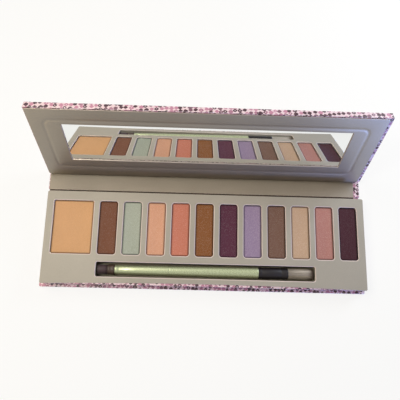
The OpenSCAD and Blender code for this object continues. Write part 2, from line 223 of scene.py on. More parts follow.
class Look:
    """A material or world in the making, called m below: its nodes, and its shader where it has one."""

    def __init__(self, owner, **sockets):
        """Takes up the owner's nodes and sets values on its shader's own sockets."""
        owner.use_nodes = True
        self.tree = owner.node_tree
        self.shader = self.tree.nodes.get("Principled BSDF")
        for name, value in sockets.items():
            self.shader.inputs[name.replace("_", " ").title().replace("Ior", "IOR")].default_value = value

    def add(self, kind, inputs=None, **settings):
        """The outputs of a new node; a socket given as an input is linked."""
        made = self.tree.nodes.new(kind)
        for name, value in settings.items():
            setattr(made, name, value)
        for name, value in (inputs or {}).items():
            socket = made.inputs[name]
            if isinstance(value, bpy.types.NodeSocket):
                self.tree.links.new(value, socket)
            else:
                socket.default_value = (*value, 1.0) if socket.type == "RGBA" else value
        return made.outputs

    def give(self, socket, value):
        """Links a value to a socket of the shader."""
        self.tree.links.new(value, self.shader.inputs[socket])

    def calc(self, operation, first, second):
        """Two values joined by one operation."""
        return self.add("ShaderNodeMath", {0: first, 1: second}, operation=operation)[0]

    def mix(self, factor, first, second, blend="MIX"):
        """Two colours mixed by a factor."""
        inputs = {0: factor, 6: first, 7: second}
        return self.add("ShaderNodeMix", inputs, data_type="RGBA", blend_type=blend)[2]

    def tones(self, factor, base, low, high):
        """A colour that varies between two of its own tones."""
        return self.mix(factor, shade(base, low), shade(base, high))

    def spread(self, value, low=0.3, high=0.7, start=0.0, end=1.0, smooth=False):
        """A value mapped from one range, by default the middle of a grain, to another."""
        inputs = {"Value": value, "From Min": low, "From Max": high, "To Min": start, "To Max": end}
        kind = "SMOOTHSTEP" if smooth else "LINEAR"
        return self.add("ShaderNodeMapRange", inputs, interpolation_type=kind)["Result"]

    def place(self, scale=(1, 1, 1), kind="Object", turn=(0, 0, 0)):
        """The surface's own coordinates, scaled and turned."""
        source = self.add("ShaderNodeTexCoord")[kind]
        inputs = {"Vector": source, "Scale": scale, "Rotation": turn}
        return self.add("ShaderNodeMapping", inputs)["Vector"]

    def mark(self, name):
        """A value that the shape carries on its points."""
        return self.add("ShaderNodeAttribute", attribute_name=name)["Fac"]

    def grain(self, vector, scale, detail=3.0, roughness=0.55):
        """Noise between 0 and 1."""
        inputs = {"Vector": vector, "Scale": scale, "Detail": detail, "Roughness": roughness}
        return self.add("ShaderNodeTexNoise", inputs)["Fac"]

    def flakes(self, scale):
        """Small cells, each with its own three chance values."""
        cells = self.add("ShaderNodeTexVoronoi", {"Vector": self.place(), "Scale": scale}, feature="F1")
        return self.add("ShaderNodeSeparateColor", {"Color": cells["Color"]})

    def bump(self, height, strength, distance):
        """A bump on the shader from a height."""
        inputs = {"Height": height, "Strength": strength, "Distance": distance}
        self.give("Normal", self.add("ShaderNodeBump", inputs)["Normal"])

    def rubbed_and_highlit(self, base, pale, amount, patchy=0.75):
        """A colour painted paler where the surface turns round an edge, in patches: rubbing on the print, painted
        highlight on the cards.
        """
        patches = self.spread(self.grain(self.place(), 420), patchy - 0.35, patchy)
        factor = self.calc("MULTIPLY", self.calc("MULTIPLY", self.mark("wear"), patches), amount)
        return self.mix(factor, base, pale)


def look(name, **sockets):
    """A new material of the palette."""
    return Look(bpy.data.materials.new(f"palette_{name}"), **sockets)


def shade(value, factor):
    """A darker or lighter tone of a colour."""
    return tuple(min(1.0, c * factor) for c in value)


def printed_paper(colours, sizes):
    """Pale pink paper with small lozenges in three tones, under a satin varnish."""
    m = look("printed_paper", roughness=0.42, coat_weight=0.12, coat_roughness=0.3)
    uv = m.place(kind="UV", turn=(0, 0, math.radians(8)))
    warp = m.add("ShaderNodeTexNoise", {"Vector": uv, "Scale": 180.0, "Detail": 1.0})
    offset = m.add("ShaderNodeVectorMath", {0: warp["Color"], "Scale": 0.0006}, operation="SCALE")
    bent = m.add("ShaderNodeVectorMath", {0: uv, 1: offset[0]}, operation="ADD")[0]
    cells = {"Vector": bent, "Scale": 1 / sizes.dot_pitch, "Randomness": 0.4, "Exponent": 1.35}
    motif = m.add("ShaderNodeTexVoronoi", cells, voronoi_dimensions="2D", distance="MINKOWSKI")
    pick = m.add("ShaderNodeSeparateColor", {"Color": motif["Color"]})
    # Dark and pale motifs gather in drifts.
    choice = m.calc("ADD", pick[0], m.grain(uv, 42, 1.0))
    chosen = m.add("ShaderNodeValToRGB", {"Fac": m.spread(choice, 0.3, 1.3)})["Color"]
    ramp = chosen.node.color_ramp
    ramp.interpolation = "CONSTANT"
    tones = (
        (0.0, colours.print_dark),
        (0.48, shade(colours.print_mid, 0.45)),
        (0.6, colours.print_mid),
        (0.72, colours.print_dark),
        (0.88, shade(colours.print_mid, 1.3)),
    )
    while len(ramp.elements) < len(tones):
        ramp.elements.new(0.5)
    for element, (position, tone) in zip(ramp.elements, tones):
        element.position = position
        element.color = (*tone, 1.0)
    ground = m.mix(m.grain(uv, 90, 4.0), shade(colours.print_ground, 0.86), colours.print_ground)
    # Every motif has its own reach, and a paler heart in some.
    reach = m.spread(pick[1], 0, 1, 0.42, 0.55)
    beyond = m.calc("SUBTRACT", motif["Distance"], reach)
    inside = m.spread(beyond, -0.03, 0.03, 1.0, 0.0, smooth=True)
    halo = m.spread(beyond, 0.02, 0.12, 0.6, 0.0, smooth=True)
    heart = m.spread(motif["Distance"], 0.08, 0.16, 1.0, 0.0, smooth=True)
    heart = m.calc("MULTIPLY", heart, m.calc("GREATER_THAN", pick[2], 0.75))
    haloed = m.mix(halo, ground, colours.print_pale)
    motifs = m.mix(heart, chosen, colours.print_pale)
    print_colour = m.mix(inside, haloed, motifs)
    ink = m.mix(m.spread(m.grain(uv, 1500, 2.0)), print_colour, (0.9, 0.78, 0.83), "MULTIPLY")
    shown = m.mix(0.35, print_colour, ink)
    m.give("Base Color", m.rubbed_and_highlit(shown, (0.86, 0.8, 0.78), 0.5))
    fibre = m.grain(m.place(), 2600, 4.0, 0.6)
    m.bump(m.calc("ADD", fibre, inside), 0.25, 0.00005)
    m.give("Roughness", m.spread(fibre, 0.3, 0.7, 0.36, 0.5))


def coated_card(name, base, roughness=0.42, metallic=0.0, coat=0.03):
    """Coated card with faint clouding, fine grain and a satin face."""
    m = look(name, metallic=metallic, coat_weight=coat, coat_roughness=0.35, specular_ior_level=0.25)
    here = m.place()
    cloud = m.spread(m.grain(here, 28))
    fleck = m.spread(m.grain(here, 900, 3.0, 0.6), 0.35, 0.65)
    tone = m.tones(cloud, base, 0.95, 1.05)
    tone = m.mix(0.5, tone, m.mix(fleck, (0.93, 0.93, 0.93), (1, 1, 1)), "MULTIPLY")
    # The card's rounded edges and window lips are painted paler and rosier almost all along: painted highlight where
    # they turn to the light.
    highlight_tone = tuple(min(1.0, c * lift) for c, lift in zip(base, (1.85, 1.68, 1.9)))
    m.give("Base Color", m.rubbed_and_highlit(tone, highlight_tone, 0.95, 0.4))
    fibre = m.grain(here, 3200, 4.0, 0.62)
    m.give("Roughness", m.spread(fibre, 0.3, 0.7, roughness - 0.05, roughness + 0.07))
    m.bump(fibre, 0.22, 0.00004)


def greyboard(base):
    """Recycled board with coarse fibres."""
    m = look("greyboard", roughness=0.9, specular_ior_level=0.2)
    fibre = m.grain(m.place((1, 1, 6)), 700, 6.0, 0.7)
    m.give("Base Color", m.tones(m.spread(fibre), base, 0.75, 1.2))
    m.bump(fibre, 0.5, 0.0001)


def pressed_powder(name, base, pearl):
    """Pressed powder: a fine crumb with clouding and, on pearly shades, small bright flakes."""
    m = look(name, specular_ior_level=0.22, metallic=0.15 * pearl)
    cloud = m.spread(m.grain(m.place((1, 0.3, 1)), 90))
    tone = m.tones(cloud, base, 0.95, 1.04)
    crumb = m.grain(m.place(), 3000, 5.0, 0.7)
    tone = m.mix(m.spread(crumb, 0.35, 0.65), m.mix(0.5, tone, shade(base, 0.7)), tone)
    pick = m.flakes(4200.0)
    bright = m.spread(pick[0], 0.8, 0.95, 0.0, 0.55 * pearl)
    glint = tuple(0.35 + 0.65 * c for c in base)
    tone = m.mix(bright, tone, glint)
    # The powder is darkened towards its edge: painted shade of the recess under the card's lip.
    edge = m.calc("MULTIPLY", m.mark("wear"), 0.9)
    m.give("Base Color", m.mix(edge, tone, shade(base, 0.25)))
    m.give("Roughness", m.spread(pick[1], 0.0, 1.0, 0.62 - 0.2 * pearl, 0.85))
    m.bump(crumb, 0.35, 0.00008)


def lacquer(base):
    """Pearly lacquer on the handle, with a fine flake under a clear coat."""
    m = look("green_lacquer", metallic=0.5, coat_weight=0.12, coat_roughness=0.2, specular_ior_level=0.25)
    pick = m.flakes(5200.0)
    tone = m.tones(pick[0], base, 0.9, 1.12)
    cloud = m.grain(m.place((0.2, 1, 1)), 260)
    tone = m.mix(m.spread(cloud, 0.3, 0.7, 0.0, 0.25), tone, shade(base, 0.85))
    m.give("Base Color", tone)
    m.give("Roughness", m.spread(pick[1], 0, 1, 0.24, 0.38))
    m.bump(m.grain(m.place(), 500, 2.0), 0.06, 0.00004)


def turned_metal(name, base, roughness, metallic=1.0, coat=0.0):
    """Metal or hard plastic with fine turning marks and smudges."""
    m = look(name, metallic=metallic, coat_weight=coat, coat_roughness=0.2, specular_ior_level=0.3)
    marks = m.grain(m.place((14, 1, 1)), 700)
    smudge = m.grain(m.place(), 160)
    m.give("Base Color", m.tones(m.spread(smudge), base, 0.88, 1.1))
    both = m.calc("ADD", marks, smudge)
    m.give("Roughness", m.spread(both, 0.6, 1.4, roughness - 0.07, roughness + 0.1))
    m.bump(marks, 0.15, 0.00003)


def hair(name, root, tip, start, end):
    """Hairs that change colour from root to tip, each a little different."""
    m = look(name, roughness=0.55, specular_ior_level=0.35, sheen_weight=0.2)
    source = m.add("ShaderNodeTexCoord")["Object"]
    along = m.add("ShaderNodeSeparateXYZ", {"Vector": source})["X"]
    streak = m.grain(m.place((0.06, 1, 1)), 2600)
    tone = m.mix(m.spread(along, start, end, smooth=True), root, tip)
    dark = m.mix(1.0, tone, (0.5, 0.5, 0.5), "MULTIPLY")
    tone = m.mix(m.spread(m.mark("strand"), 0.0, 1.0, 0.0, 0.6), tone, dark)
    tone = m.mix(m.spread(streak, 0.4, 0.65, 0.0, 0.6), tone, dark)
    m.give("Base Color", tone)
    m.bump(streak, 0.4, 0.00008)


def silvered_glass():
    """Mirror with the faintest haze of handling."""
    m = look("mirror_glass", metallic=1.0, ior=1.5)
    haze = m.grain(m.place(), 60, 4.0)
    m.give("Base Color", m.mix(haze, (0.86, 0.88, 0.87), (0.91, 0.92, 0.91)))
    m.give("Roughness", m.spread(haze, 0.45, 0.8, 0.004, 0.03))


# ---- Shapes ----


def points(made):
    """The vertices among what a step has made."""
    return [item for item in made if isinstance(item, bmesh.types.BMVert)]


class Shape:
    """A mesh in the making, with an edge mark (rubbing on the print, painted highlight on cards, painted shade on
    powders) and the place of the print on it.
    """

    def __init__(self):
        self.bm = bmesh.new()
        self.wear = self.bm.verts.layers.float.new("wear")
        self.strand = self.bm.verts.layers.float.new("strand")
        self.uv = self.bm.loops.layers.uv.new("print")

    def ring(self, outline, height, wear, cap):
        """The edges of a rounded rectangle; its bow pulls the middle of its front edge back."""
        bm = self.bm
        before = set(bm.verts)
        place = Matrix.Translation((outline.x, outline.y, height)) @ Matrix.Diagonal((outline.w, outline.d, 1, 1))
        made = bmesh.ops.create_grid(bm, x_segments=1, y_segments=1, size=0.5, matrix=place)
        settings = {"offset_type": "OFFSET", "profile": 0.5, "affect": "VERTICES", "material": -1}
        bmesh.ops.bevel(bm, geom=made["verts"], offset=outline.r, segments=CORNER_STEPS, **settings)
        face = next(v for v in bm.verts if v not in before).link_faces[0]
        if outline.bow:
            front = outline.y - outline.d / 2
            straight = [e for e in face.edges if all(abs(v.co.y - front) < TINY for v in e.verts)]
            cut = bmesh.ops.subdivide_edges(bm, edges=straight, cuts=ARC_CUTS)
            arc = points(cut["geom_inner"])
            for v in arc:
                v.co = moved(v.co, outline, outline, height)
            face = arc[0].link_faces[0]
        for v in face.verts:
            v[self.wear] = wear
        edges = face.edges[:]
        if not cap:
            bmesh.ops.delete(bm, geom=[face], context="FACES_ONLY")
        return edges

    def loft(self, steps, first=False, last=False):
        """A skin through steps, each an outline with its height and edge mark; gives its first and last edges."""
        bm = self.bm
        outline, height, wear = steps[0]
        start = edges = self.ring(outline, height, wear, first)
        for following, height, wear in steps[1:]:
            made = bmesh.ops.extrude_edge_only(bm, edges=edges)["geom"]
            fresh = set(points(made))
            for v in fresh:
                v.co = moved(v.co, outline, following, height)
                v[self.wear] = wear
            edges = [e for e in made if isinstance(e, bmesh.types.BMEdge) and fresh.issuperset(e.verts)]
            outline = following
        if last:
            bmesh.ops.contextual_create(bm, geom=edges)
        return start, edges

    @classmethod
    def solid(cls, steps):
        """A closed solid through steps."""
        shape = cls()
        shape.loft(steps, first=True, last=True)
        return shape

    def paper(self, name, body, node, underside, place=None):
        """Turns the shape into a piece of printed paper."""
        self.piece(name, "printed_paper", body, node, place=place, print_from=underside)

    def fill(self, rings):
        """A flat face between several rings."""
        edges = [e for ring in rings for e in ring]
        bmesh.ops.triangle_fill(self.bm, use_beauty=True, use_dissolve=False, edges=edges, normal=(0, 0, 1))

    def lathe(self, axis, profile, steps=48):
        """A solid turned about a line along X, from pairs of place and radius."""
        bm = self.bm
        y, z = axis
        verts = [bm.verts.new((x, y, z + r)) for x, r in profile]
        edges = [bm.edges.new(pair) for pair in zip(verts, verts[1:])]
        turn = {"cent": (0, y, z), "axis": (1, 0, 0), "angle": math.tau, "steps": steps}
        bmesh.ops.spin(bm, geom=verts + edges, use_merge=True, use_duplicate=False, **turn)
        bmesh.ops.remove_doubles(bm, verts=bm.verts, dist=TINY)

    def unfold(self, top=0.0):
        """Lays the print over the shape as paper lies round a panel: flat on its faces and on down its sides."""
        self.bm.normal_update()
        for face in self.bm.faces:
            n = face.normal
            for loop in face.loops:
                x, y, z = loop.vert.co
                if abs(n.x) > max(abs(n.y), abs(n.z)):
                    x += math.copysign(z - top, n.x)
                elif abs(n.y) > abs(n.z):
                    y += math.copysign(z - top, n.y)
                loop[self.uv].uv = (x, y)

    def piece(self, name, finish, body, *replaced, slot=None, place=None, sharp=32, print_from=None, heal=True):
        """Turns the shape into an object with its finish that rides on a body; its slot is not used."""
        bm = self.bm
        if heal:
            bmesh.ops.remove_doubles(bm, verts=bm.verts, dist=TINY)
            bmesh.ops.recalc_face_normals(bm, faces=bm.faces)
        if print_from is not None:
            self.unfold(print_from)
        if place is not None:
            bmesh.ops.transform(bm, matrix=place, verts=bm.verts)
        mesh = bpy.data.meshes.new(name)
        bm.to_mesh(mesh)
        bm.free()
        mesh.shade_smooth()
        mesh.set_sharp_from_angle(angle=math.radians(sharp))
        mesh.materials.append(material(finish))
        made = placed(name, mesh)
        slot = slot or finish
        if body:
            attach(made, body)
        if replaced:
            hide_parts(*replaced)
        return made


def quarter(count):
    """The steps of a rounded edge: a share that falls from 1 to 0, one that grows from 0 to 1, and the edge mark for
    rubbing and painted highlight.
    """
    turns = [math.pi / 2 * k / count for k in range(count + 1)]
    return [(1 - math.sin(a), 1 - math.cos(a), math.sin(2 * a)) for a in turns]


def within(outline, steps):
    """Steps that are given as a distance inside an outline, a height and an edge mark."""
    return [(inset(outline, inside), height, wear) for inside, height, wear in steps]


def wall(outline, *heights):
    """Plain steps up or down one outline."""
    return [(outline, height, 0.0) for height in heights]


def outer_round(outline, radius, low, high, both=True):
    """Steps up the outside of a panel whose edges are rounded, from its underside to its top."""
    flat = radius + 0.25 * MM
    steps = [(0, low, 0.0)]
    if both:
        steps = [(flat, low, 0.0)]
        steps += [(radius * near, low + radius * far, wear) for near, far, wear in quarter(EDGE_STEPS)]
    steps += [(radius * far, high - radius * near, wear) for near, far, wear in quarter(EDGE_STEPS)]
    return within(outline, [*steps, (flat, high, 0.0)])


def window_steps(outline, lip, low, high):
    """Steps from the card's face over a window's pressed lip and down its wall."""
    drop = min(lip, 0.85 * (high - low))
    steps = [(-lip - 0.2 * MM, high, 0.0)]
    steps += [(-lip * near, high - drop * far, wear) for near, far, wear in quarter(EDGE_STEPS)]
    return within(outline, [*steps, (0, low, 0.0)])


# A rounded rectangle: its middle, width, depth, corner radius and bow.
Outline = namedtuple("Outline", "x y w d r bow")


def inset(outline, amount):
    """An outline that lies inside another by an amount."""
    radius = max(outline.r - amount, 0.15 * MM)
    return outline._replace(w=outline.w - 2 * amount, d=outline.d - 2 * amount, r=radius)


def outline_of(low, high, radius, bow=0.0):
    """The outline of a box, seen from above."""
    return Outline((low.x + high.x) / 2, (low.y + high.y) / 2, high.x - low.x, high.y - low.y, radius, bow)


def moved(point, old, new, height):
    """Where a point of one outline lies on another."""
    dx, dy = point.x - old.x, point.y - old.y
    reach = old.w / 2 - old.r
    if abs(dx) < reach - TINY:
        share = dx / reach
        x = new.x + share * (new.w / 2 - new.r)
        return Vector((x, new.y - new.d / 2 + new.bow * (1 - share * share), height))
    x = math.copysign(new.w / 2 - new.r + (abs(dx) - reach) / old.r * new.r, dx)
    y = math.copysign(new.d / 2 - new.r + (abs(dy) - old.d / 2 + old.r) / old.r * new.r, dy)
    return Vector((new.x + x, new.y + y, height))


def material(name):
    """A material that an earlier step made."""
    return bpy.data.materials[f"palette_{name}"]


def placed(name, data):
    """An object for a mesh, a lamp or a camera, linked to the scene."""
    made = bpy.data.objects.new(name, data)
    bpy.context.scene.collection.objects.link(made)
    return made


# ---- Powders, brush and folds ----


def press(number, sizes):
    """One powder: a grid whose corners are rounded, with a turned-down edge and a soft relief."""
    low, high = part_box(f"powder_{number}")
    size = high - low
    middle, half = (low + high) / 2, size / 2
    corner = 1.5 * MM
    shadow = sizes.powder_round + sizes.powder_shadow
    across, along = 0.75 * MM, 0.95 * MM
    counts = (max(16, round(size[0] / across)), round(size[1] / along))
    shape = Shape()
    bm = shape.bm
    bmesh.ops.create_grid(bm, x_segments=counts[0], y_segments=counts[1], size=1)
    edge, top = sizes.powder_round, high.z - sizes.powder_drop
    for v in bm.verts:
        # The grid is closer towards the edge, and its square corners are drawn in to arcs.
        x, y = (math.sin(p * math.pi / 2) * h for p, h in zip(v.co.xy, half))
        past_x, past_y = abs(x) - (half[0] - corner), abs(y) - (half[1] - corner)
        if past_x > 0 and past_y > 0:
            reach = max(past_x, past_y) / math.hypot(past_x, past_y)
            x = math.copysign(half[0] - corner + past_x * reach, x)
            y = math.copysign(half[1] - corner + past_y * reach, y)
            inside = corner - math.hypot(past_x, past_y) * reach
        else:
            inside = min(-past_x, -past_y) + corner
        inside = max(inside, 0.0)
        rounded = max(0.0, 1 - inside / edge)
        drop = edge * (1 - math.sqrt(max(0.0, 1 - rounded * rounded)))
        centre = (middle[0] + x, middle[1] + y)
        # Each powder has waves of its own, about 4 mm long.
        wave = noise.noise(Vector((*centre, int(number) * 0.1)) * 260)
        v.co = (*centre, top - drop - sizes.powder_relief * (0.5 + 0.5 * wave) * min(1, inside / edge))
        # The mark is strongest at the powder's edge, where it paints the shade of the recess under the card.
        v[shape.wear] = min(1.0, 2 * max(0.0, 1 - inside / shadow))
    rim = [e for e in bm.edges if e.is_boundary]
    for v in points(bmesh.ops.extrude_edge_only(bm, edges=rim)["geom"]):
        v.co.z = low.z
    bmesh.ops.holes_fill(bm, edges=[e for e in bm.edges if e.is_boundary], sides=0)
    powder = f"powder_{number}"
    shape.piece(f"pressed_{powder}", powder, "base", powder, sharp=60)


def brush_axis():
    """Where the brush's axis lies: its place along Y and its height."""
    low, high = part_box("brush_ferrule")
    return (low.y + high.y) / 2, (low.z + high.z) / 2


def span(name):
    """Where a part of the brush starts and ends along it."""
    low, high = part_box(f"brush_{name}")
    return low.x, high.x


def turned(name, finish, part, profile, slot=None):
    """A part turned about the brush's axis."""
    shape = Shape()
    shape.lathe(brush_axis(), profile)
    shape.piece(name, finish, "brush", f"brush_{part}", slot=slot)


def handle(part, start_r, end_r, rings):
    """A length of the handle, tapered, with softened ends and fine turned rings."""
    start, end = span(f"handle_{part}")
    soft = 0.32 * MM
    ring_w, ring_depth = 0.2 * MM, 0.1 * MM

    def radius(x):
        return (start_r + (end_r - start_r) * (x - start) / (end - start)) * MM

    def softened(x, way):
        rounding = ((0, 1), (0.3, 0.3), (1, 0), (2, 0))
        return [(x, 0)] + [(x + way * along * soft, radius(x) - less * soft) for along, less in rounding]

    profile = softened(start, 1)
    for x in [start + ring * MM for ring in rings]:
        profile += [(x - ring_w, radius(x)), (x, radius(x) - ring_depth), (x + ring_w, radius(x))]
    profile += [(x, radius(x)) for x in (start + share * (end - start) for share in (0.35, 0.65))]
    profile += reversed(softened(end, -1))
    turned(f"brush_{part}_handle", "green_lacquer", f"handle_{part}", profile)


def ferrule():
    """The sleeve: a rolled mouth at each end and two pressed rings."""
    start, end = span("ferrule")
    r = 3.95
    reach = (end - start) / MM
    pairs = [(0, 0), (0, r - 0.3), (0.15, r - 0.08), (0.4, r)]
    groove = ((-0.45, 0), (-0.2, 0.13), (0, 0.17), (0.2, 0.13), (0.45, 0))
    for ring in (2.5, reach - 4.7):
        pairs += [(ring + beside, r - depth) for beside, depth in groove]
    mouth = ((0.7, 0), (0.35, 0.02), (0.1, 0.12), (0, 0.3), (0, r))
    pairs += [(reach - before, r - depth) for before, depth in mouth]
    profile = [(start + x * MM, radius * MM) for x, radius in pairs]
    turned("brush_sleeve", "ferrule", "ferrule", profile, "black_ferrule")


def collar():
    """The short collar at the small end, with one groove."""
    start, end = span("collar")
    pairs = ((0, 0), (0, 3.2), (0.2, 3.5), (0.5, 3.6), (1.5, 3.62), (1.75, 3.5), (2.0, 3.64), (4.5, 3.72))
    pairs += ((4.8, 3.65), (4.9, 3.4))
    profile = [(min(start + x * MM, end), r * MM) for x, r in pairs] + [(end, 0)]
    turned("brush_collar_ring", "collar", "collar", profile, "dark_collar")


def hairs(root, tip, outline, count, seed):
    """A bundle of tapered hairs round a core, cut to an outline of share along and radius."""
    draw = random.Random(seed)
    reach = tip - root
    y, z = brush_axis()
    shape = Shape()
    bm = shape.bm
    core = [(root, 0)] + [(root + share * reach * CORE_LENGTH, r * MM * CORE_WIDTH) for share, r in outline]
    shape.lathe(brush_axis(), core + [(root + CORE_LENGTH * reach, 0)], steps=24)
    bmesh.ops.recalc_face_normals(bm, faces=bm.faces)

    def point(x, radius, turn):
        return Vector((x, y + radius * math.cos(turn), z + radius * math.sin(turn)))

    for _ in range(count):
        around = draw.uniform(0, math.tau)
        depth = draw.random() ** 0.35
        end_r = min(depth + draw.uniform(-0.05, 0.05), 1.0)
        along = draw.uniform(0.955, 0.985) + 0.012 * (1 - end_r)
        start_point = point(root, depth * outline[0][1] * MM, around)
        turn = around + draw.uniform(-0.06, 0.06)
        end_point = point(root + along * reach, end_r * radius_at(outline, along) * MM, turn)
        way = end_point - start_point
        place = Matrix.Translation((start_point + end_point) / 2) @ way.to_track_quat("Z", "Y").to_matrix().to_4x4()
        taper = {"radius1": HAIR_ROOT_R, "radius2": HAIR_TIP_R, "depth": way.length}
        made = bmesh.ops.create_cone(bm, cap_ends=True, segments=3, matrix=place, **taper)
        tone = draw.random()
        for v in made["verts"]:
            v[shape.strand] = tone
    return shape


def radius_at(outline, share):
    """The outline's radius at a share of its length."""
    for (s0, r0), (s1, r1) in zip(outline, outline[1:]):
        if share <= s1:
            return r0 + (r1 - r0) * (share - s0) / (s1 - s0)
    return outline[-1][1]


def ends(finish):
    """Where a sheet starts and ends along the palette: the print runs to both ends, the lining stops short."""
    low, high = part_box("spine_wrap")
    if finish == "printed_paper":
        return low.x + 0.4 * MM, high.x - 0.4 * MM
    return low.x + 0.6 * MM, high.x - (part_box("spine_liner")[0].x - low.x)


def level_path(start, reach, height, count=14):
    """A level path from front to rear, in a count of steps."""
    return [(start + k / count * reach, height) for k in range(count + 1)]


def strip(name, path, sheet, body_a, body_b, start, end, bend=None):
    """A sheet, given as its thickness, finish and slot, that follows a path of pairs across a fold."""
    thickness, finish, slot = sheet
    left, right = ends(finish)
    shape = Shape()
    bm = shape.bm
    ways = [(Vector(b) - Vector(a)).normalized() for a, b in zip([path[0], *path], [*path[1:], path[-1]])]
    raised = [(y - way.y * thickness, z + way.x * thickness) for (y, z), way in zip(path, ways)]
    profile = [bm.verts.new((left, y, z)) for y, z in [*path, *reversed(raised)]]
    edges = [bm.edges.new(pair) for pair in zip(profile, profile[1:] + profile[:1])]
    bmesh.ops.contextual_create(bm, geom=edges)
    made = bmesh.ops.extrude_face_region(bm, geom=bm.faces[:])["geom"]
    bmesh.ops.translate(bm, vec=(right - left, 0, 0), verts=points(made))
    bmesh.ops.recalc_face_normals(bm, faces=bm.faces)
    shape.unfold()
    if bend:
        for v in bm.verts:
            v.co = bend(v.co)
    piece = shape.piece(name, finish, None, slot=slot, sharp=50, heal=False)
    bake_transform(piece)
    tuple(start)
    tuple(end)


def bent(name, path, sheet, depth):
    """A sheet bent about the lid's fold to the lid's angle at rest; depth, its height above the table, is not used."""
    about, reach = Vector((0, LID_FOLD_Y, 0)), 0.5 * MM

    def bend(point):
        share = min(1.0, max(0.0, (point.y - about.y + reach) / (2 * reach)))
        return about + Matrix.Rotation(LID_ANGLE * share * share * (3 - 2 * share), 3, "X") @ (point - about)

    # Two points about the line that halves the angle, at the sheet's own depth; strip takes them but does not use
    # them.
    across = Matrix.Rotation(LID_ANGLE / 2, 3, "X")
    middle = about + across @ Vector((0, 0, depth / math.cos(LID_ANGLE / 2)))
    start, end = (middle + across @ Vector((0, side * reach * math.cos(LID_ANGLE / 2), 0)) for side in (-1, 1))
    strip(name, path, sheet, "spine", "lid", start, end, bend)


def riser(name, body, y0, y1, top, place=None):
    """The lining that climbs the edge of a panel beside the fold."""
    left, right = ends("lining")
    size = (right - left, y1 - y0, top - LINING_Z)
    middle = Vector(((left + right) / 2, (y0 + y1) / 2, (top + LINING_Z) / 2))
    shape = Shape()
    bmesh.ops.create_cube(shape.bm, size=1, matrix=Matrix.Translation(middle) @ Matrix.Diagonal((*size, 1)))
    shape.piece(name, "lining", body, slot="taupe_card", place=place)


# ---- Studio ----


def seen_colour(m, lit, background):
    """Mixes what the camera and mirrors see with what lights the object."""
    path = m.add("ShaderNodeLightPath")
    seen = path["Is Camera Ray"]
    for ray in ("Is Glossy Ray", "Is Transmission Ray"):
        seen = m.calc("MAXIMUM", seen, path[ray])
    return m.add("ShaderNodeMixShader", {0: seen, 1: lit, 2: background})[0]


def plain_floor(studio):
    """A plain pale floor that keeps the object's shadow."""
    bm = bmesh.new()
    bmesh.ops.create_grid(bm, x_segments=1, y_segments=1, size=3, matrix=Matrix.Translation((0, 0, -0.3 * MM)))
    mesh = bpy.data.meshes.new("floor")
    bm.to_mesh(mesh)
    bm.free()
    finish = bpy.data.materials.new("floor")
    m = Look(finish)
    m.tree.nodes.clear()
    tones = ((0.8, 0.8, 0.79), (0.15, 0.15, 0.15))
    lit, pale = (m.add("ShaderNodeBsdfDiffuse", {"Color": tone})[0] for tone in tones)
    # Away from the object the floor runs into the backdrop.
    glow, far = (
        m.add("ShaderNodeEmission", {"Color": studio.background, "Strength": strength})[0]
        for strength in (0.88, 1.0)
    )
    near = m.add("ShaderNodeAddShader", {0: pale, 1: glow})[0]
    away = m.add("ShaderNodeVectorMath", {0: m.place()}, operation="LENGTH")["Value"]
    bright = m.add("ShaderNodeMixShader", {0: m.spread(away, 0.2, 0.48, smooth=True), 1: near, 2: far})[0]
    m.add("ShaderNodeOutputMaterial", {"Surface": seen_colour(m, lit, bright)})
    mesh.materials.append(finish)
    floor = placed("floor", mesh)


def surround(studio):
    """An even pale surround."""
    world = bpy.data.worlds.new("studio")
    m = Look(world)
    m.tree.nodes.clear()
    lit = m.add("ShaderNodeBackground", {"Color": (1, 1, 1), "Strength": studio.fill})[0]
    pale = m.add("ShaderNodeBackground", {"Color": studio.background})[0]
    m.add("ShaderNodeOutputWorld", {"Surface": seen_colour(m, lit, pale)})
    return world


def camera():
    """Looks down on the open palette from above its front edge."""
    data = bpy.data.cameras.new("camera")
    data.lens, data.sensor_width = 37.18, 36.0
    data.clip_start, data.clip_end = 0.01, 20
    made = placed("camera", data)
    pitch, yaw, roll = (math.radians(a) for a in (78.126, -4.793, 6.287))
    turn = Matrix.Rotation(yaw, 4, "Z") @ Matrix.Rotation(math.pi / 2 - pitch, 4, "X")
    made.location = (-0.00898, -0.03157, 0.30503)
    made.rotation_euler = (turn @ Matrix.Rotation(roll, 4, "Z")).to_euler()
    return made


# ---- Operators ----


class Step:
    """What every step of the finish shares."""

    bl_options = {"REGISTER"}

    @property
    def sizes(self):
        return bpy.context.scene.palette_sizes

    @property
    def colours(self):
        return bpy.context.scene.palette_colours


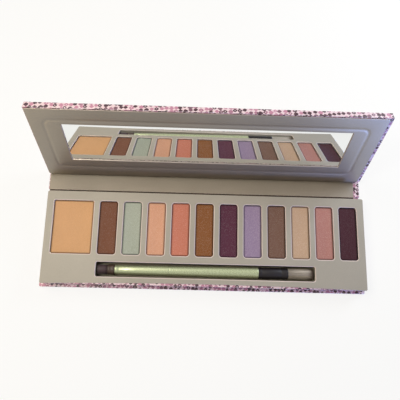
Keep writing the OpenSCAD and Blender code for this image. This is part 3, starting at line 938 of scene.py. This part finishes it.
class PALETTE_OT_finishes(Step, bpy.types.Operator):
    """Mix the materials and give each carried-over part of the frame its own"""

    bl_idname = "palette.finishes"
    bl_label = "Materials"

    def execute(self, context):
        c = self.colours
        printed_paper(c, self.sizes)
        coated_card("taupe_card", c.card)
        coated_card("lining", c.lining, 0.46)
        # The lining in the folds is the lining painted far darker: painted shade in the creases.
        coated_card("fold_lining", shade(c.lining, 0.35), 0.6)
        coated_card("satin_card", c.satin, 0.4, 0.85, 0.05)
        coated_card("taupe_trough", c.trough, 0.5)
        greyboard(c.greyboard)
        lacquer(c.lacquer)
        silvered_glass()
        turned_metal("pan_metal", (0.82, 0.82, 0.81), 0.35)
        turned_metal("steel", (0.62, 0.61, 0.6), 0.3)
        turned_metal("magnet", (0.5, 0.5, 0.51), 0.28)
        turned_metal("ferrule", c.ferrule, 0.5, 0.0, 0.0)
        turned_metal("collar", c.collar, 0.42, 0.0, 0.1)
        coated_card("foam_tape", (0.8, 0.8, 0.78), 0.8)
        shades = context.scene.palette_powders
        for number, (name, _, pearl) in zip(PAN_NAMES, POWDER_COLOURS):
            pressed_powder(f"powder_{number}", getattr(shades, name), pearl)
        carried = {
            "greyboard": ("base_board", "tray_core", "spine_board", "lid_board", "lid_spacer"),
            "pan_metal": [f"pan_{number}" for number in PAN_NAMES],
            "steel": ("steel_disc_left", "steel_disc_right"),
            "magnet": ("magnet_left", "magnet_right"),
            "foam_tape": ("mirror_tape",),
            "mirror_glass": ("mirror",),
        }
        for finish, nodes in carried.items():
            for node in nodes:
                mesh = frame["nodes"][node].data
                mesh.materials.clear()
                mesh.materials.append(material(finish))
        return {"FINISHED"}


class PALETTE_OT_base_cover(Step, bpy.types.Operator):
    """Wrap the base board in printed paper"""

    bl_idname = "palette.base_cover"
    bl_label = "Base cover"

    def execute(self, context):
        low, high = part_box("base_wrap")
        board_low, board_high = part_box("base_board")
        wrap = board_low.z - low.z
        outline = outline_of(low, board_high + Vector((wrap, wrap, 0)), CORNER)
        steps = outer_round(outline, self.sizes.paper_round, low.z, high.z)
        # The turned-in border ends beneath the tray, which sits in it on the board.
        tray_low, tray_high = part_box("tray_wrap")
        beneath = outline_of(tray_low + Vector((0.2, 0.2, 0)) * MM, tray_high - Vector((0.2, 1.2, 0)) * MM, CORNER)
        steps += wall(beneath, high.z, board_high.z)
        Shape.solid(steps).paper("base_cover_paper", "base", "base_wrap", low.z)
        return {"FINISHED"}


class PALETTE_OT_tray_block(Step, bpy.types.Operator):
    """Wrap the tray's block in printed paper"""

    bl_idname = "palette.tray_block"
    bl_label = "Tray block"

    def execute(self, context):
        low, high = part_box("tray_wrap")
        outline = outline_of(low, high, CORNER)
        wrap = 0.3 * MM
        steps = outer_round(outline, wrap, low.z, high.z, both=False)
        # Along the front the paper is turned in on top of the block, where the card leaves it bare.
        ledge = outline_of(low + Vector((0.8 * MM, TURN_IN, 0)), high - Vector((0.8, 0.8, 0)) * MM, 1 * MM)
        steps += wall(ledge, high.z, high.z - wrap) + wall(inset(outline, wrap), high.z - wrap, low.z)
        shape = Shape()
        shape.loft([*steps, steps[0]])
        shape.paper("tray_paper", "base", "tray_wrap", low.z)
        return {"FINISHED"}


class PALETTE_OT_tray_card(Step, bpy.types.Operator):
    """Lay the card with its thirteen windows on the tray"""

    bl_idname = "palette.tray_card"
    bl_label = "Tray card"

    def execute(self, context):
        sizes = self.sizes
        low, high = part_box("tray_plate")
        shape = Shape()
        outline = outline_of(low, high, CORNER, 1.8 * MM)
        bottom, top = shape.loft(outer_round(outline, sizes.card_round, low.z, high.z))
        rings = [(top, bottom)]
        # A powder reaches this far beneath the card on each side.
        hidden = Vector((0.1, 0.1, 0)) * MM
        windows = []
        for number in PAN_NAMES:
            powder_low, powder_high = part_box(f"powder_{number}")
            windows.append(outline_of(powder_low + hidden, powder_high - hidden, WINDOW_R))
        windows[0] = windows[0]._replace(r=FIRST_WINDOW_R)
        windows.append(inset(outline_of(*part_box("brush_trough"), WELL_R), WELL_WALL))
        rings += [shape.loft(window_steps(window, sizes.window_lip, low.z, high.z)) for window in windows]
        for level in zip(*rings):
            shape.fill(level)
        shape.piece("tray_card", "taupe_card", "base", "tray_plate")
        return {"FINISHED"}


class PALETTE_OT_powders(Step, bpy.types.Operator):
    """Press the twelve powders into their pans"""

    bl_idname = "palette.powders"
    bl_label = "Powders"

    def execute(self, context):
        for number in PAN_NAMES:
            press(number, self.sizes)
        return {"FINISHED"}


class PALETTE_OT_brush_well(Step, bpy.types.Operator):
    """Form the well that the brush lies in"""

    bl_idname = "palette.brush_well"
    bl_label = "Brush well"

    def execute(self, context):
        low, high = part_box("brush_trough")
        bottom, bend = low.z + WELL_WALL, 1.4 * MM
        steps = [(WELL_WALL, low.z, 0.0), (0, bottom, 0.0), (0, high.z, 0.0), (WELL_WALL, high.z, 0.0)]
        steps += [(WELL_WALL + bend * far, bottom + bend * near, 0.0) for near, far, _ in quarter(4)]
        shape = Shape.solid(within(outline_of(low, high, WELL_R), steps))
        shape.piece("brush_well", "taupe_trough", "base", "brush_trough")
        return {"FINISHED"}


class PALETTE_OT_brush(Step, bpy.types.Operator):
    """Make the double-ended brush"""

    bl_idname = "palette.brush"
    bl_label = "Brush"

    def execute(self, context):
        c, sizes = self.colours, self.sizes
        handle("rear", 3.2, 3.48, (2.8,))
        handle("front", 3.43, 3.8, ())
        ferrule()
        collar()
        start, end = span("bristles")
        hair("taupe_bristles", c.bristle, c.bristle_tip, start + 0.72 * (end - start), end)
        outline = ((0.0, 3.55), (0.3, 3.85), (0.6, 4.0), (0.9, 4.02), (0.985, 3.85))
        shape = hairs(start, end, outline, sizes.bristle_count, seed=7)
        shape.piece("brush_bristle_bundle", "taupe_bristles", "brush", "brush_bristles", heal=False)
        start, end = span("tuft")
        hair("dark_tuft", c.tuft, shade(c.tuft, 0.7), end, start)
        outline = ((0.0, 3.2), (0.3, 3.7), (0.6, 3.92), (0.85, 3.88), (0.985, 3.5))
        shape = hairs(end, start, outline, sizes.tuft_count, seed=11)
        shape.piece("brush_tuft_bundle", "dark_tuft", "brush", "brush_tuft", slot="dark_foam", heal=False)
        return {"FINISHED"}


class PALETTE_OT_spine(Step, bpy.types.Operator):
    """Wrap the spine's board and line it"""

    bl_idname = "palette.spine"
    bl_label = "Spine"

    def execute(self, context):
        low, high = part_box("spine_wrap")
        lining_low, lining_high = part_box("spine_liner")
        lining_t = 0.12 * MM
        paper_top = high.z - lining_t
        outline = outline_of(low, high, 0.9 * MM)
        shape = Shape.solid(outer_round(outline, self.sizes.paper_round, low.z, paper_top))
        shape.paper("spine_paper", "spine", "spine_wrap", low.z)
        # The lining reaches almost to the left end and leaves the print bare at the right.
        lining_low.x = low.x + 0.6 * MM
        outline = outline_of(lining_low, lining_high, 0.3 * MM)
        shape = Shape.solid(outer_round(outline, 0.06 * MM, paper_top - 0.02 * MM, high.z))
        shape.piece("spine_lining", "lining", "spine", "spine_liner", slot="taupe_card")
        return {"FINISHED"}


class PALETTE_OT_folds(Step, bpy.types.Operator):
    """Lay the papers and linings that cross the two folds between base, spine and lid, bent as at rest"""

    bl_idname = "palette.folds"
    bl_label = "Folds"

    def execute(self, context):
        # The lining sheets in the folds are painted far darker than the lining: painted shade in the creases.
        lining = (self.sizes.lining_t, "fold_lining", "taupe_card")
        paper = (FOLD_PAPER_T, "printed_paper", "printed_paper")
        spine_low, spine_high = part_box("spine_wrap")
        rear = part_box("base_board")[1].y + 0.3 * MM
        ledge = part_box("base_wrap")[1].z - 0.05 * MM
        # Down the back of the tray, along the table and up the spine's edge.
        path = [(rear + 0.02 * MM, ledge), (rear + 0.04 * MM, 0.75 * MM), (rear + 0.2 * MM, 0.5 * MM)]
        width = spine_low.y - rear
        path += [(rear + 0.2 * MM + share * (width - 0.3 * MM), LINING_Z) for share in (0.25, 0.5, 0.75, 0.95)]
        path += [(spine_low.y - 0.02 * MM, 0.7 * MM), (spine_low.y, spine_high.z - 0.3 * MM)]
        fold = ("base", "spine", (0, SPINE_FOLD_Y - 1.1 * MM, 0), (0, spine_low.y - 0.02 * MM, 0))
        strip("fold_lining_rear", path, lining, *fold)
        strip("fold_paper_rear", level_path(rear - 1.5 * MM, width + 3 * MM, PAPER_Z, 10), paper, *fold)
        # The lid's fold, drawn flat and then bent to the lid's angle at rest.
        lid_start = flat_box("lid_board", LID_PLACE)[0].y - 0.3 * MM
        card_z = flat_box("lid_liner", LID_PLACE)[0].z
        first, last = spine_high.y, LID_FOLD_Y + lid_start
        bent("fold_lining_lid", level_path(first - 0.05 * MM, last - first, LINING_Z), lining, 0.56 * MM)
        riser("fold_lining_spine_edge", "spine", first - 0.12 * MM, first + 0.05 * MM, 1.7 * MM)
        riser("fold_lining_lid_edge", "lid", lid_start - 0.1 * MM, lid_start + 0.1 * MM, card_z, LID_PLACE)
        path = level_path(first - 1.2 * MM, last - first + 2.4 * MM, PAPER_Z)
        bent("fold_paper_lid", path, paper, 0.16 * MM)
        return {"FINISHED"}


class PALETTE_OT_lid(Step, bpy.types.Operator):
    """Wrap the lid and lay the satin card with its window on it"""

    bl_idname = "palette.lid"
    bl_label = "Lid"

    def execute(self, context):
        sizes = self.sizes
        board_low = flat_box("lid_board", LID_PLACE)[0]
        low, high = flat_box("lid_wrap", LID_PLACE)
        wrap = board_low.z
        outline = outline_of(Vector((low.x, board_low.y - wrap, 0)), high, 0.7 * MM)
        steps = outer_round(outline, 0.4 * MM, low.z, high.z)
        steps += wall(inset(outline, TURN_IN), high.z, high.z - wrap)
        steps += wall(inset(outline, wrap), high.z - wrap, low.z + wrap)
        Shape.solid(steps).paper("lid_paper", "lid", "lid_wrap", low.z, LID_PLACE)
        card_low, card_high = flat_box("lid_liner", LID_PLACE)
        # The card is laid a little nearer the left edge.
        shift = Vector((0.9 * MM, 0, 0))
        card = outline_of(card_low - 1.5 * shift, card_high - 0.5 * shift, CORNER)
        top = card_high.z
        window = inset(outline_of(*flat_box("mirror", LID_PLACE), 2.1 * MM), 1.5 * MM)
        half, depth = sizes.groove_w / 2, sizes.groove_depth
        line = inset(card._replace(r=14 * MM), sizes.groove_inset)
        groove = [
            (inset(line, -half * k), top - depth * (0.5 + 0.5 * math.cos(math.pi * k)), 0.0)
            for k in [1 - step / 4 for step in range(9)]
        ]
        steps = outer_round(card, sizes.card_round, card_low.z, top)
        steps += groove + window_steps(window, 0.3 * MM, card_low.z, top)
        shape = Shape()
        shape.loft([*steps, steps[0]])
        shape.piece("lid_card", "satin_card", "lid", "lid_liner", place=LID_PLACE)
        return {"FINISHED"}


class PALETTE_OT_stage(Step, bpy.types.Operator):
    """Set the floor, the lamps, the world and the camera"""

    bl_idname = "palette.stage"
    bl_label = "Studio"

    def execute(self, context):
        scene = context.scene
        studio = scene.palette_studio
        plain_floor(studio)
        scene.world = surround(studio)
        for name, (place, aim, size, *_) in LAMPS.items():
            light = bpy.data.lights.new(f"{name}_lamp", "AREA")
            light.energy, light.color = getattr(studio, f"{name}_power"), getattr(studio, f"{name}_colour")
            light.size = size
            lamp = placed(f"{name}_lamp", light)
            lamp.location = place
            lamp.visible_camera = False
            lamp.rotation_euler = (Vector(aim) - Vector(place)).to_track_quat("-Z", "Y").to_euler()
        scene.camera = camera()
        scene.view_settings.view_transform = "Standard"
        return {"FINISHED"}


# ---- Panel and registration ----

GROUPS = {
    "palette_sizes": PALETTE_PG_sizes,
    "palette_colours": PALETTE_PG_colours,
    "palette_powders": PALETTE_PG_powders,
    "palette_studio": PALETTE_PG_studio,
}
STEPS = (
    PALETTE_OT_finishes,
    PALETTE_OT_base_cover,
    PALETTE_OT_tray_block,
    PALETTE_OT_tray_card,
    PALETTE_OT_powders,
    PALETTE_OT_brush_well,
    PALETTE_OT_brush,
    PALETTE_OT_spine,
    PALETTE_OT_folds,
    PALETTE_OT_lid,
    PALETTE_OT_stage,
)


class PALETTE_PT_panel(bpy.types.Panel):
    """The palette's settings and steps"""

    bl_label = "Eyeshadow Palette"
    bl_idname = "PALETTE_PT_panel"
    bl_space_type = "VIEW_3D"
    bl_region_type = "UI"
    bl_category = "Palette"

    def draw(self, context):
        layout = self.layout
        for group in GROUPS:
            settings = getattr(context.scene, group)
            box = layout.box()
            for name in settings.__annotations__:
                box.prop(settings, name)
        for step in STEPS:
            layout.operator(step.bl_idname)


register_classes, unregister_classes = bpy.utils.register_classes_factory((*GROUPS.values(), *STEPS, PALETTE_PT_panel))


def register():
    register_classes()
    for name, group in GROUPS.items():
        setattr(bpy.types.Scene, name, PointerProperty(type=group))


def unregister():
    for name in GROUPS:
        delattr(bpy.types.Scene, name)
    unregister_classes()


def main():
    register()
    for step in STEPS:
        group, name = step.bl_idname.split(".")
        getattr(getattr(bpy.ops, group), name)()


if __name__ == "__main__":
    main()
